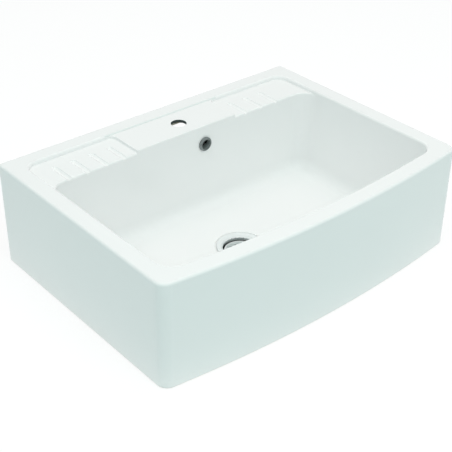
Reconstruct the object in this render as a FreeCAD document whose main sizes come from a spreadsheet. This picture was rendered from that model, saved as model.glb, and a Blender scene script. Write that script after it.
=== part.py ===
import FreeCAD
import Part
import math
import os
import Sketcher
from FreeCAD import Vector

# Butler sink in glazed fireclay with its basket waste and its overflow.
# Millimetres. The origin is on the waste axis in the plane of the sink's foot,
# +X to the right, +Y to the wall behind, +Z up.

doc = FreeCAD.newDocument("butler_sink")
dims = doc.addObject("Spreadsheet::Sheet", "dims")

SINK = {
    "sink_width": 800,
    "side_depth": 562,
    "bow_depth": 28,
    "sink_height": 240,
    "waste_to_back": 315,
    "front_corner_radius": 25,
    "back_corner_radius": 8,
    "rim_width": 40,
    "rim_outer_radius": 6,
    "rim_inner_radius": 5,
    "skirt_thickness": 14,
    "foot_radius": 3,
    "back_lip_depth": 50,
    "opening_corner_radius": 28,
    "bowl_wall": 14,
    "bowl_corner_radius": 38,
    "bowl_draft": 7,
    "bowl_edge_radius": 4,
    "bowl_floor_radius": 30,
    "floor_level": 28,
    "floor_thickness": 14,
    "ledge_depth": 93,
    "ledge_thickness": 14,
    "drainer_drop": 9.5,
    "deck_drop": 3,
    "deck_width": 274,
    "deck_flare": 22,
    "deck_edge_radius": 2,
    "groove_width": 14,
    "groove_depth": 4,
    "groove_pitch": 46,
    "groove_gap": 34,
    "groove_setback": 30,
    "grooves_left": 4,
    "grooves_right": 3,
    "tap_hole_diameter": 35,
    "tap_offset": 10,
    "tap_nut_room": 32,
    "hole_edge_radius": 1.5,
}

WASTE = {
    "cup_diameter": 76,
    "cup_taper": 2,
    "cup_throat": 5,
    "cup_depth": 50,
    "cup_gauge": 1.2,
    "waste_hole_gap": 0.8,
    "flange_lap": 8,
    "flange_rise": 1.4,
    "waste_recess_gap": 3,
    "waste_recess_depth": 2.5,
    "cup_seal_thickness": 1.5,
    "seal_setback": 1,
    "window_diameter": 48,
    "window_arm": 6,
    "hub_diameter": 18,
    "screw_diameter": 6,
    "screw_head_diameter": 12,
    "screw_head_height": 3.5,
    "screw_clearance": 0.3,
    "screw_slot": 1.4,
    "body_seal_thickness": 3,
    "body_flange_lap": 12,
    "body_flange_thickness": 4,
    "body_side_gap": 7.3,
    "body_wall": 3.5,
    "body_floor_gap": 2,
    "funnel_depth": 18,
    "outlet_diameter": 47.8,
    "outlet_wall": 4.4,
    "outlet_length": 32,
    "boss_wall": 3.5,
    "boss_rise": 10,
    "rib_thickness": 3,
    "rib_depth": 12,
    "insert_wall": 1.4,
    "insert_length": 16,
    "inlet_drop": 20,
    "inlet_run": 21,
}

BASKET = {
    "seat_clearance": 0.3,
    "bung_lap": 3,
    "bung_lip": 3,
    "bung_roof": 3,
    "bung_recess_gap": 3,
    "bung_head_gap": 1.5,
    "bung_washer_diameter": 30,
    "bung_washer_thickness": 1.2,
    "basket_gap": 5,
    "basket_taper": 3,
    "basket_depth": 26,
    "basket_gauge": 1,
    "basket_rim": 2.5,
    "slot_width": 3,
    "slot_margin": 6,
    "slots": 18,
    "sieve_hole_diameter": 4.5,
    "sieve_holes": 14,
    "stem_diameter": 6,
    "stem_collar_diameter": 12,
    "stem_collar_height": 2.5,
    "stem_nut_width": 10,
    "stem_nut_height": 3,
    "knob_diameter": 19,
    "knob_height": 13,
    "knob_neck_diameter": 10,
    "knob_gap": 20,
}

OVERFLOW = {
    "overflow_offset": 48,
    "overflow_gap": 5,
    "overflow_hole_diameter": 28,
    "rosette_lap": 2.8,
    "rosette_neck_wall": 3.2,
    "rosette_height": 4.5,
    "rosette_round": 3.5,
    "rosette_neck_length": 9,
    "rosette_gap": 0.3,
    "bridge_width": 7,
    "bridge_thickness": 3,
    "gasket_thickness": 1.2,
    "bridge_screw_diameter": 5,
    "bridge_screw_head_diameter": 9,
    "bridge_screw_head_height": 2.5,
    "bridge_screw_end_gap": 2,
    "elbow_seal_thickness": 3,
    "elbow_flange_lap": 6.5,
    "elbow_flange_thickness": 4,
    "elbow_diameter": 34,
    "elbow_wall": 3.5,
    "elbow_boss_diameter": 12,
    "elbow_boss_length": 12,
    "spigot_wall": 3.8,
    "spigot_gap": 3,
    "spigot_drop": 46,
    "pipe_diameter": 20,
    "pipe_wall": 1.5,
    "pipe_play": 0.2,
    "pipe_insertion": 18,
    "pipe_bend_radius": 45,
    "nut_wall": 4,
    "nut_grip": 13,
    "nut_end": 3,
    "nut_flutes": 12,
    "nut_flute_diameter": 4,
    "pipe_seal_length": 4,
    "fit_gap": 0.1,
}

row = 0
for group in (SINK, WASTE, BASKET, OVERFLOW):
    for name, value in group.items():
        row += 1
        dims.set(f"A{row}", name)
        dims.set(f"B{row}", str(value))
        dims.setAlias(f"B{row}", name)
doc.recompute()


def number(expression):
    """The value that an expression of the sheet has now."""
    return float(dims.evalExpression(str(expression)))


def new_body(name):
    body = doc.addObject("PartDesign::Body", name)
    body.Label = name
    return body


def origin_of(body, role):
    return [f for f in body.Origin.OriginFeatures if f.Role == role][0]


def new_sketch(body, name, plane, offset="0"):
    """A sketch on one of the body's own planes, moved along its normal by offset."""
    sketch = body.newObject("Sketcher::SketchObject", name)
    sketch.AttachmentSupport = [(origin_of(body, plane), "")]
    sketch.MapMode = "FlatFace"
    sketch.setExpression("AttachmentOffset.Base.z", offset)
    return sketch


def bind(sketch, kind, expression, *where):
    """A dimension of the sketch that follows an expression of the sheet."""
    index = sketch.addConstraint(Sketcher.Constraint(kind, *where, number(expression)))
    sketch.setExpression(f"Constraints[{index}]", expression)


def draw(sketch, points, arcs=None, closed=True):
    """An outline, or an open route, through points, each a pair of expressions.

    arcs gives the radius, and the turn (1 left, -1 right), of the edges that are round,
    by the number of the point that they leave.
    """
    arcs = arcs or {}
    place = [Vector(number(x), number(y), 0) for x, y in points]
    ends = []
    for i in range(len(place) if closed else len(place) - 1):
        start, end = place[i], place[(i + 1) % len(place)]
        if i in arcs:
            radius, turn = number(arcs[i][0]), arcs[i][1]
            chord = end - start
            rise = math.sqrt(max(radius ** 2 - chord.Length ** 2 / 4, 0))
            left = Vector(-chord.y, chord.x, 0) * (turn * rise / chord.Length)
            centre = start + chord * 0.5 + left
            first, last = (start, end) if turn > 0 else (end, start)
            angles = [math.atan2(p.y - centre.y, p.x - centre.x) for p in (first, last)]
            circle = Part.Circle(centre, Vector(0, 0, 1), radius)
            geo = sketch.addGeometry(Part.ArcOfCircle(circle, *angles))
            ends.append((geo, 1, 2) if turn > 0 else (geo, 2, 1))
        else:
            ends.append((sketch.addGeometry(Part.LineSegment(start, end)), 1, 2))
    for i in range(len(ends) if closed else len(ends) - 1):
        after = ends[(i + 1) % len(ends)]
        sketch.addConstraint(Sketcher.Constraint("Coincident", *ends[i][::2], *after[:2]))
    if not closed:
        geo, first, last = ends[-1]
        bind(sketch, "DistanceX", points[-1][0], -1, 1, geo, last)
        bind(sketch, "DistanceY", points[-1][1], -1, 1, geo, last)
    for i, (geo, first, last) in enumerate(ends):
        bind(sketch, "DistanceX", points[i][0], -1, 1, geo, first)
        bind(sketch, "DistanceY", points[i][1], -1, 1, geo, first)
        if i in arcs:
            bind(sketch, "Radius", arcs[i][0], geo)


def ring(sketch, diameter, x="0", y="0"):
    """A circle of the sketch, with its centre at x, y."""
    centre = Vector(number(x), number(y), 0)
    geo = sketch.addGeometry(Part.Circle(centre, Vector(0, 0, 1), number(diameter) / 2))
    bind(sketch, "Diameter", diameter, geo)
    bind(sketch, "DistanceX", x, -1, 1, geo, 3)
    bind(sketch, "DistanceY", y, -1, 1, geo, 3)


def box_outline(x, y, width, depth):
    """Corners of a rectangle with its middle at x, y."""
    return [
        (f"{x} + {a} * ({width}) / 2", f"{y} + {b} * ({depth}) / 2")
        for a, b in ((-1, -1), (1, -1), (1, 1), (-1, 1))
    ]


def extrude(body, kind, sketch, length, reverse=False, middle=False):
    """Pad or Pocket of a sketch. A pocket runs against the sketch's normal."""
    feature = body.newObject(f"PartDesign::{kind}", f"{sketch.Name}_{kind}")
    feature.Profile = sketch
    feature.setExpression("Length", length)
    feature.Reversed = reverse
    feature.Midplane = middle
    sketch.Visibility = False
    doc.recompute()
    return feature


def revolve(body, kind, sketch, axis="V_Axis"):
    """Revolution or Groove of a sketch about one of its own axes."""
    feature = body.newObject(f"PartDesign::{kind}", f"{sketch.Name}_{kind}")
    feature.Profile = sketch
    feature.ReferenceAxis = (sketch, [axis])
    feature.Angle = 360
    doc.recompute()
    return feature


def loft(body, kind, sketches):
    """Ruled AdditiveLoft or SubtractiveLoft through sketches."""
    feature = body.newObject(f"PartDesign::{kind}", f"{sketches[0].Name}_{kind}")
    feature.Profile = sketches[0]
    feature.Sections = sketches[1:]
    feature.Ruled = True
    doc.recompute()
    return feature


def pattern_round(body, feature, count):
    """Copies of a feature round the body's own Z axis."""
    pattern = body.newObject("PartDesign::PolarPattern", f"{feature.Name}_round")
    pattern.Originals = [feature]
    pattern.Axis = (origin_of(body, "Z_Axis"), [""])
    pattern.Angle = 360
    pattern.setExpression("Occurrences", count)
    body.Tip = pattern
    doc.recompute()
    return pattern


def pattern_line(body, feature, role, pitch, count, reverse=False):
    """Copies of a feature along one of the body's own axes."""
    pattern = body.newObject("PartDesign::LinearPattern", f"{feature.Name}_line")
    pattern.Originals = [feature]
    pattern.Direction = (origin_of(body, role), [""])
    pattern.Reversed = reverse
    pattern.setExpression("Length", f"({pitch}) * (({count}) - 1)")
    pattern.setExpression("Occurrences", count)
    body.Tip = pattern
    doc.recompute()
    return pattern


def round_edges(body, base, radius, wanted):
    """Fillet of the edges of the base feature that wanted picks."""
    names = [f"Edge{i}" for i, edge in enumerate(base.Shape.Edges, 1) if wanted(edge)]
    fillet = body.newObject("PartDesign::Fillet", f"{base.Name}_fillet")
    fillet.Base = (base, names)
    fillet.setExpression("Radius", radius)
    doc.recompute()
    return fillet


def turned(name, points, arcs=None):
    """A body turned about its own Z axis from an outline of radius and height."""
    body = new_body(name)
    sketch = new_sketch(body, f"{name}_profile", "XZ_Plane")
    draw(sketch, points, arcs)
    revolve(body, "Revolution", sketch)
    return body


def washer(name, bore, diameter, low, high):
    """A flat ring between two heights."""
    inner, outer = f"({bore}) / 2", f"({diameter}) / 2"
    return turned(name, [(inner, low), (outer, low), (outer, high), (inner, high)])


def place(body, x="0", y="0", z="0", axis=("0", "0", "1"), angle="0"):
    """Placement of a body that follows the sheet."""
    turn = FreeCAD.Rotation(Vector(*map(number, axis)), number(angle))
    body.Placement = FreeCAD.Placement(Vector(*map(number, (x, y, z))), turn)
    for letter, expression in zip("xyz", (x, y, z)):
        body.setExpression(f"Placement.Base.{letter}", expression)
    for letter, expression in zip("xyz", axis):
        body.setExpression(f"Placement.Rotation.Axis.{letter}", expression)
    body.setExpression("Placement.Rotation.Angle", angle)
    doc.recompute()


# Sink body: one casting of fireclay, a bowl hung in a skirt that is open below and behind.
BACK = "dims.waste_to_back"
TOP = "dims.sink_height"
STEP = f"({BACK} - dims.rim_width)"
BOWL_BACK = f"({STEP} - dims.ledge_depth)"
LEDGE = f"({TOP} - dims.drainer_drop)"
DECK = f"({TOP} - dims.deck_drop)"
UNDER_LEDGE = f"({LEDGE} - dims.ledge_thickness)"
FLOOR = "dims.floor_level"
UNDER_FLOOR = f"({FLOOR} - dims.floor_thickness)"
BOW = "(dims.sink_width ^ 2 / (8 * dims.bow_depth) + dims.bow_depth / 2)"
BOW_CENTRE = f"({BACK} - dims.side_depth - dims.bow_depth + {BOW})"


def bowed(sketch, inset, back, back_radius, front_radius):
    """The sink's outline, set in at the sides and the bowed front, with its own back line."""
    half = f"(dims.sink_width / 2 - ({inset}))"
    front = f"({BOW} - ({inset}))"
    inner = f"({front} - ({front_radius}))"
    turn_x = f"({half} - ({front_radius}))"
    side_end = f"({BOW_CENTRE} - sqrt({inner} ^ 2 - {turn_x} ^ 2))"
    nose_x = f"({turn_x} * {front} / {inner})"
    nose_y = f"({BOW_CENTRE} + ({side_end} - {BOW_CENTRE}) * {front} / {inner})"
    points = [
        (f"{half} - ({back_radius})", back),
        (f"({back_radius}) - {half}", back),
        (f"-{half}", f"{back} - ({back_radius})"),
        (f"-{half}", side_end),
        (f"-{nose_x}", nose_y),
        (nose_x, nose_y),
        (half, side_end),
        (half, f"{back} - ({back_radius})"),
    ]
    arcs = {
        1: (back_radius, 1),
        3: (front_radius, 1),
        4: (front, 1),
        5: (front_radius, 1),
        7: (back_radius, 1),
    }
    draw(sketch, points, arcs)


def level(edge, height):
    """True for an edge that lies at one height."""
    box = edge.BoundBox
    return box.ZMax - box.ZMin < 0.001 and abs(box.ZMin - height) < 0.001


def is_ring(edge, sketch):
    """True for a round edge of the same size as a sketch's own circle."""
    curve = edge.Curve
    return isinstance(curve, Part.Circle) and abs(curve.Radius - sketch.Geometry[0].Radius) < 0.001


sink = new_body("sink_body")

outside = new_sketch(sink, "outside", "XY_Plane")
bowed(outside, "0", BACK, "dims.back_corner_radius", "dims.front_corner_radius")
block = extrude(sink, "Pad", outside, TOP)
round_edges(sink, block, "dims.foot_radius", lambda e: level(e, 0))

hollow = new_sketch(sink, "hollow", "XY_Plane")
SKIRT = "dims.skirt_thickness"
bowed(hollow, SKIRT, f"{BACK} - {SKIRT}", "dims.back_corner_radius", "dims.front_corner_radius")
extrude(sink, "Pocket", hollow, UNDER_LEDGE, reverse=True)

shell_top = new_sketch(sink, "shell_top", "XY_Plane", UNDER_LEDGE)
SHELL_INSET = "dims.rim_width - dims.bowl_wall"
SHELL_BACK = f"({BOWL_BACK} + dims.bowl_wall)"
SHELL_CORNER = "dims.bowl_corner_radius + dims.bowl_wall"
bowed(shell_top, SHELL_INSET, SHELL_BACK, SHELL_CORNER, SHELL_CORNER)
shell_foot = new_sketch(sink, "shell_foot", "XY_Plane", UNDER_FLOOR)
bowed(shell_foot, f"{SHELL_INSET} + dims.bowl_draft", SHELL_BACK, SHELL_CORNER, SHELL_CORNER)
shell = loft(sink, "AdditiveLoft", [shell_top, shell_foot])
under_floor = number(UNDER_FLOOR)
round_edges(sink, shell, "dims.bowl_floor_radius", lambda e: level(e, under_floor))

recess = new_sketch(sink, "recess", "XY_Plane", TOP)
OPENING = ("dims.rim_width", STEP, "dims.opening_corner_radius", "dims.bowl_corner_radius")
bowed(recess, *OPENING)
opened = extrude(sink, "Pocket", recess, "dims.drainer_drop")
top = number(TOP)
opening_half = number("dims.sink_width / 2 - dims.rim_width")
step = number(STEP)


def in_opening(edge):
    box = edge.BoundBox
    return box.XMax < opening_half + 1 and box.XMin > -opening_half - 1 and box.YMax < step + 1


rim = round_edges(sink, opened, "dims.rim_outer_radius", lambda e: level(e, top) and not in_opening(e))
round_edges(sink, rim, "dims.rim_inner_radius", lambda e: level(e, top) and in_opening(e))

bowl_floor = new_sketch(sink, "bowl_floor", "XY_Plane", FLOOR)
CORNER = "dims.bowl_corner_radius"
bowed(bowl_floor, "dims.rim_width + dims.bowl_draft", BOWL_BACK, CORNER, CORNER)
bowl_mouth = new_sketch(sink, "bowl_mouth", "XY_Plane", f"{LEDGE} - dims.bowl_edge_radius")
bowed(bowl_mouth, "dims.rim_width", BOWL_BACK, CORNER, CORNER)
bowl = loft(sink, "SubtractiveLoft", [bowl_mouth, bowl_floor])
floor = number(FLOOR)
round_edges(sink, bowl, "dims.bowl_floor_radius", lambda e: level(e, floor))


# The bowl's back edge is rounded over into the ledge, and the rounding fades at the side walls.
ROUND_STEPS = 3
edge_sections = [bowl_mouth]
for count in range(1, ROUND_STEPS + 1):
    angle = 90 * count / ROUND_STEPS
    lift = f"{LEDGE} - dims.bowl_edge_radius * (1 - sin({angle} deg))"
    section = new_sketch(sink, f"bowl_edge_{count}", "XY_Plane", lift)
    back = f"{BOWL_BACK} + dims.bowl_edge_radius * (1 - cos({angle} deg))"
    bowed(section, "dims.rim_width", back, CORNER, CORNER)
    edge_sections.append(section)
loft(sink, "SubtractiveLoft", edge_sections)

# Tap deck: a raised flat between the drainers, flared where it meets the back rail.
deck = new_sketch(sink, "deck", "XY_Plane", f"{LEDGE} - dims.bowl_edge_radius")
DECK_HALF = "dims.deck_width / 2"
DECK_ROOT = f"({STEP} + dims.rim_inner_radius)"
FLARE_END = f"({DECK_HALF} + dims.deck_flare)"
deck_points = [
    (f"-{DECK_HALF}", BOWL_BACK),
    (DECK_HALF, BOWL_BACK),
    (DECK_HALF, f"{DECK_ROOT} - dims.deck_flare"),
    (FLARE_END, DECK_ROOT),
    (f"-{FLARE_END}", DECK_ROOT),
    (f"-{DECK_HALF}", f"{DECK_ROOT} - dims.deck_flare"),
]
draw(deck, deck_points, {2: ("dims.deck_flare", -1), 4: ("dims.deck_flare", -1)})
raised = extrude(sink, "Pad", deck, f"{DECK} - {LEDGE} + dims.bowl_edge_radius")
deck_top = number(DECK)
round_edges(
    sink, raised, "dims.deck_edge_radius", lambda e: level(e, deck_top) and e.BoundBox.YMin < step - 1
)

# Drainer grooves: round-bottomed flutes with a round start, open at the bowl.
GROOVE_ROUND = "((dims.groove_width ^ 2 / 4 + dims.groove_depth ^ 2) / (2 * dims.groove_depth))"
GROOVE_START = f"({STEP} - dims.groove_setback - dims.groove_width / 2)"
GROOVE_END = f"({BOWL_BACK} - dims.groove_width / 2)"
for side, sign, count in (("left", -1, "dims.grooves_left"), ("right", 1, "dims.grooves_right")):
    flute = new_sketch(sink, f"flute_{side}", "YZ_Plane", f"{sign} * ({DECK_HALF} + dims.groove_gap)")
    flute.setExpression("AttachmentOffset.Base.y", f"{LEDGE} + {GROOVE_ROUND} - dims.groove_depth")
    flute_points = [
        (f"{GROOVE_START} + {GROOVE_ROUND}", "0"),
        (GROOVE_START, f"-{GROOVE_ROUND}"),
        (GROOVE_END, f"-{GROOVE_ROUND}"),
        (GROOVE_END, "0"),
    ]
    draw(flute, flute_points, {0: (GROOVE_ROUND, -1)})
    cut = revolve(sink, "Groove", flute, "H_Axis")
    pattern_line(sink, cut, "X_Axis", "dims.groove_pitch", count, reverse=sign < 0)

# Holes: tap hole in the deck, overflow hole in the bowl's back wall, waste hole in its floor.
tap = new_sketch(sink, "tap_hole", "XY_Plane", TOP)
ring(tap, "dims.tap_hole_diameter", "dims.tap_offset", f"{SHELL_BACK} + dims.tap_nut_room")
drilled = extrude(sink, "Pocket", tap, "dims.drainer_drop + 2 * dims.ledge_thickness")
round_edges(sink, drilled, "dims.hole_edge_radius", lambda e: level(e, deck_top) and is_ring(e, tap))

ELBOW_FLANGE = "(dims.overflow_hole_diameter + 2 * dims.elbow_flange_lap)"
OVERFLOW_LEVEL = f"({UNDER_LEDGE} - dims.overflow_gap - {ELBOW_FLANGE} / 2)"
spill = new_sketch(sink, "overflow_hole", "XZ_Plane", f"-({SHELL_BACK} + dims.bowl_wall / 2)")
ring(spill, "dims.overflow_hole_diameter", "dims.overflow_offset", OVERFLOW_LEVEL)
extrude(sink, "Pocket", spill, "2 * dims.bowl_wall", reverse=True)

CUP = "dims.cup_diameter / 2"
GAUGE = "dims.cup_gauge"
THROAT = "dims.cup_throat"
WASTE_HOLE = f"(2 * ({CUP} + {GAUGE} + {THROAT} + dims.waste_hole_gap))"
CUP_FLANGE = f"({WASTE_HOLE} + 2 * dims.flange_lap)"
dish = new_sketch(sink, "waste_recess", "XY_Plane", FLOOR)
ring(dish, f"{CUP_FLANGE} + 2 * dims.waste_recess_gap")
dished = extrude(sink, "Pocket", dish, "dims.waste_recess_depth")
round_edges(sink, dished, "dims.hole_edge_radius", lambda e: level(e, floor) and is_ring(e, dish))
drain = new_sketch(sink, "waste_hole", "XY_Plane", FLOOR)
ring(drain, WASTE_HOLE)
extrude(sink, "Pocket", drain, "2 * dims.floor_thickness")

# Back: open for the plumbing below a lip, with narrow returns at the side walls.
rear = new_sketch(sink, "rear_opening", "XZ_Plane", f"-{BACK}")
REAR_HALF = f"(dims.sink_width / 2 - {SKIRT} - dims.back_corner_radius)"
REAR_TOP = f"({TOP} - dims.back_lip_depth)"
REAR_ROUND = "dims.opening_corner_radius"
rear_points = [
    (f"-{REAR_HALF}", f"-{SKIRT}"),
    (REAR_HALF, f"-{SKIRT}"),
    (REAR_HALF, f"{REAR_TOP} - {REAR_ROUND}"),
    (f"{REAR_HALF} - {REAR_ROUND}", REAR_TOP),
    (f"{REAR_ROUND} - {REAR_HALF}", REAR_TOP),
    (f"-{REAR_HALF}", f"{REAR_TOP} - {REAR_ROUND}"),
]
draw(rear, rear_points, {2: (REAR_ROUND, 1), 4: (REAR_ROUND, 1)})
extrude(sink, "Pocket", rear, f"{SKIRT} + dims.back_corner_radius", reverse=True)

# Basket waste: the steel cup that is clamped to the bowl's floor.
SEAT = f"({FLOOR} - dims.waste_recess_depth)"
FLANGE = f"({SEAT} + dims.cup_seal_thickness)"
CUP_FOOT = f"({FLANGE} - dims.cup_depth)"
CUP_PLATE = f"({CUP_FOOT} + dims.cup_gauge)"
FLANGE_EDGE = f"{CUP_FLANGE} / 2"
SCREW_HOLE = "dims.screw_diameter / 2 + dims.screw_clearance"
cup_points = [
    (SCREW_HOLE, CUP_FOOT),
    (f"{CUP} - dims.cup_taper + {GAUGE}", CUP_FOOT),
    (f"{CUP} + {GAUGE}", f"{FLANGE} - {THROAT}"),
    (f"{CUP} + {GAUGE} + {THROAT}", FLANGE),
    (FLANGE_EDGE, FLANGE),
    (FLANGE_EDGE, f"{FLANGE} + {GAUGE} / 2"),
    (f"{FLANGE_EDGE} - dims.flange_rise", f"{FLANGE} + {GAUGE} / 2 + dims.flange_rise"),
    (f"{CUP} + {THROAT}", f"{FLANGE} + {GAUGE}"),
    (CUP, f"{FLANGE} - {THROAT} + {GAUGE}"),
    (f"{CUP} - dims.cup_taper", CUP_PLATE),
    (SCREW_HOLE, CUP_PLATE),
]
cup = turned("strainer_cup", cup_points, {5: ("dims.flange_rise", 1)})
window = new_sketch(cup, "cup_window", "XY_Plane", CUP_PLATE)
ARM = "dims.window_arm / 2"
HUB_FLAT = f"sqrt(dims.hub_diameter ^ 2 / 4 - ({ARM}) ^ 2)"
RIM_FLAT = f"sqrt(dims.window_diameter ^ 2 / 4 - ({ARM}) ^ 2)"
window_points = [(HUB_FLAT, ARM), (RIM_FLAT, ARM), (ARM, RIM_FLAT), (ARM, HUB_FLAT)]
window_arcs = {1: ("dims.window_diameter / 2", 1), 3: ("dims.hub_diameter / 2", -1)}
draw(window, window_points, window_arcs)
QUARTERS = "4"
pattern_round(cup, extrude(cup, "Pocket", window, f"2 * {GAUGE}"), QUARTERS)

SEAL_BORE = f"{WASTE_HOLE} + 2 * dims.seal_setback"
washer("cup_seal", SEAL_BORE, f"{CUP_FLANGE} - 2 * dims.flange_rise", SEAT, FLANGE)

# Moulded body below the floor, with the outlet, the overflow inlet and the boss for the clamp screw.
BODY_TOP = f"({UNDER_FLOOR} - dims.body_seal_thickness)"
FUNNEL = f"({CUP_FOOT} - dims.body_floor_gap)"
OUTLET = f"({FUNNEL} - dims.funnel_depth)"
OUTLET_END = f"({OUTLET} - dims.outlet_length)"
BODY_INSIDE = f"({CUP} + {GAUGE} + dims.body_side_gap)"
BODY_OUTSIDE = f"({BODY_INSIDE} + dims.body_wall)"
BODY_FLANGE = f"({WASTE_HOLE} / 2 + dims.body_flange_lap)"
OUTLET_INSIDE = "dims.outlet_diameter / 2 - dims.outlet_wall"
body_points = [
    (BODY_INSIDE, BODY_TOP),
    (BODY_INSIDE, f"{FUNNEL} + dims.body_wall / 2"),
    (OUTLET_INSIDE, f"{OUTLET} + dims.body_wall / 2"),
    (OUTLET_INSIDE, OUTLET_END),
    ("dims.outlet_diameter / 2", OUTLET_END),
    ("dims.outlet_diameter / 2", OUTLET),
    (BODY_OUTSIDE, FUNNEL),
    (BODY_OUTSIDE, f"{BODY_TOP} - dims.body_flange_thickness"),
    (BODY_FLANGE, f"{BODY_TOP} - dims.body_flange_thickness"),
    (BODY_FLANGE, BODY_TOP),
]
waste = turned("waste_body", body_points)
RIB_FOOT = f"({OUTLET} - dims.rib_depth)"
rib = new_sketch(waste, "waste_rib", "XY_Plane", RIB_FOOT)
RIB_REACH = f"({OUTLET_INSIDE} + dims.outlet_wall / 2)"
draw(rib, box_outline(f"{RIB_REACH} / 2", "0", RIB_REACH, "dims.rib_thickness"))
pattern_round(waste, extrude(waste, "Pad", rib, "dims.rib_depth"), QUARTERS)
boss = new_sketch(waste, "waste_boss", "XY_Plane", RIB_FOOT)
INSERT_BORE = "(dims.screw_diameter + 2 * dims.fit_gap)"
INSERT = f"({INSERT_BORE} + 2 * dims.insert_wall)"
ring(boss, f"{INSERT} + 2 * dims.boss_wall")
extrude(waste, "Pad", boss, "dims.rib_depth + dims.boss_rise")
BOSS_TOP = f"({OUTLET} + dims.boss_rise)"
socket = new_sketch(waste, "insert_socket", "XY_Plane", BOSS_TOP)
ring(socket, INSERT)
extrude(waste, "Pocket", socket, "dims.insert_length")
INLET = f"({BODY_TOP} - dims.inlet_drop)"
INLET_REACH = f"({BODY_FLANGE} + dims.inlet_run)"
SPIGOT_BORE = "(dims.pipe_diameter + 2 * dims.pipe_play)"
SPIGOT = f"({SPIGOT_BORE} + 2 * dims.spigot_wall)"
inlet = new_sketch(waste, "overflow_inlet", "YZ_Plane", f"{BODY_INSIDE} + dims.body_wall / 2")
ring(inlet, SPIGOT, "0", INLET)
INLET_RUN = f"({INLET_REACH} - ({BODY_INSIDE} + dims.body_wall / 2))"
extrude(waste, "Pad", inlet, INLET_RUN)
inlet_bore = new_sketch(waste, "overflow_inlet_bore", "YZ_Plane", INLET_REACH)
ring(inlet_bore, SPIGOT_BORE, "0", INLET)
extrude(waste, "Pocket", inlet_bore, f"{INLET_RUN} + 2 * dims.body_wall")

washer("body_seal", SEAL_BORE, f"2 * {BODY_FLANGE} - dims.body_wall", BODY_TOP, UNDER_FLOOR)

# Clamp screw down the waste axis, from the cup's hub into a brass insert in the boss.
SCREW = "dims.screw_diameter / 2"
HEAD = "dims.screw_head_diameter / 2"
HEAD_TOP = f"({CUP_PLATE} + dims.screw_head_height)"
SCREW_TIP = f"({BOSS_TOP} - dims.insert_length + 2 * dims.fit_gap)"
screw_points = [
    ("0", SCREW_TIP),
    (SCREW, SCREW_TIP),
    (SCREW, CUP_PLATE),
    (HEAD, CUP_PLATE),
    (HEAD, f"{CUP_PLATE} + dims.screw_head_height / 2"),
    (f"{HEAD} - dims.screw_head_height / 2", HEAD_TOP),
    ("0", HEAD_TOP),
]
clamp = turned("clamp_screw", screw_points, {4: ("dims.screw_head_height / 2", 1)})
drive = new_sketch(clamp, "clamp_drive", "XY_Plane", HEAD_TOP)
draw(drive, box_outline("0", "0", "dims.screw_head_diameter", "dims.screw_slot"))
extrude(clamp, "Pocket", drive, "dims.screw_head_height / 2")

washer("screw_insert", INSERT_BORE, INSERT, f"{BOSS_TOP} - dims.insert_length", BOSS_TOP)

# Strainer basket with its lift knob, and below it the bung that closes the cup.
BUNG_FOOT = f"({CUP_PLATE} + dims.seat_clearance)"
NUT_ROOM = "(dims.bung_head_gap + dims.stem_nut_height + dims.basket_gauge)"
BUNG_ROOF = f"({BUNG_FOOT} + dims.screw_head_height + {NUT_ROOM})"
BUNG_TOP = f"({BUNG_ROOF} + dims.bung_roof)"
BASKET_FOOT = f"({BUNG_TOP} + dims.bung_washer_thickness)"
BASKET_PLATE = f"({BASKET_FOOT} + dims.basket_gauge)"
BASKET_TOP = f"({BASKET_FOOT} + dims.basket_depth)"
STEM = "dims.stem_diameter / 2"
BUNG_RECESS = f"{HEAD} + dims.bung_recess_gap"
BUNG_EDGE = "dims.window_diameter / 2 + dims.bung_lap"
bung_points = [
    (BUNG_RECESS, BUNG_FOOT),
    (BUNG_EDGE, BUNG_FOOT),
    (BUNG_EDGE, f"{BUNG_FOOT} + dims.bung_lip"),
    ("dims.bung_washer_diameter / 2", BUNG_TOP),
    (STEM, BUNG_TOP),
    (STEM, BUNG_ROOF),
    (BUNG_RECESS, BUNG_ROOF),
]
turned("basket_bung", bung_points)
washer("bung_washer", "dims.stem_diameter", "dims.bung_washer_diameter", BUNG_TOP, BASKET_FOOT)

WALL = f"({CUP} - dims.basket_gap)"
THIN = "dims.basket_gauge"
basket_points = [
    (STEM, BASKET_FOOT),
    (f"{WALL} - dims.basket_taper", BASKET_FOOT),
    (WALL, f"{BASKET_TOP} - {THIN}"),
    (f"{WALL} + dims.basket_rim", f"{BASKET_TOP} - {THIN}"),
    (f"{WALL} + dims.basket_rim", BASKET_TOP),
    (f"{WALL} - {THIN}", BASKET_TOP),
    (f"{WALL} - {THIN} - dims.basket_taper", BASKET_PLATE),
    (STEM, BASKET_PLATE),
]
basket = turned("strainer_basket", basket_points)
slot = new_sketch(basket, "basket_slot", "XZ_Plane", f"{WALL} + {THIN}")
SLOT_MIDDLE = f"({BASKET_FOOT} + {BASKET_TOP}) / 2"
draw(slot, box_outline("0", SLOT_MIDDLE, "dims.slot_width", "dims.basket_depth - 2 * dims.slot_margin"))
SLOT_CUT = f"dims.basket_taper + 3 * {THIN}"
pattern_round(basket, extrude(basket, "Pocket", slot, SLOT_CUT), "dims.slots")
hole = new_sketch(basket, "sieve_hole", "XY_Plane", BASKET_PLATE)
SIEVE_CIRCLE = f"(dims.bung_washer_diameter / 2 + {WALL} - dims.basket_taper - {THIN}) / 2"
ring(hole, "dims.sieve_hole_diameter", SIEVE_CIRCLE, "0")
pattern_round(basket, extrude(basket, "Pocket", hole, f"2 * {THIN}"), "dims.sieve_holes")

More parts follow.
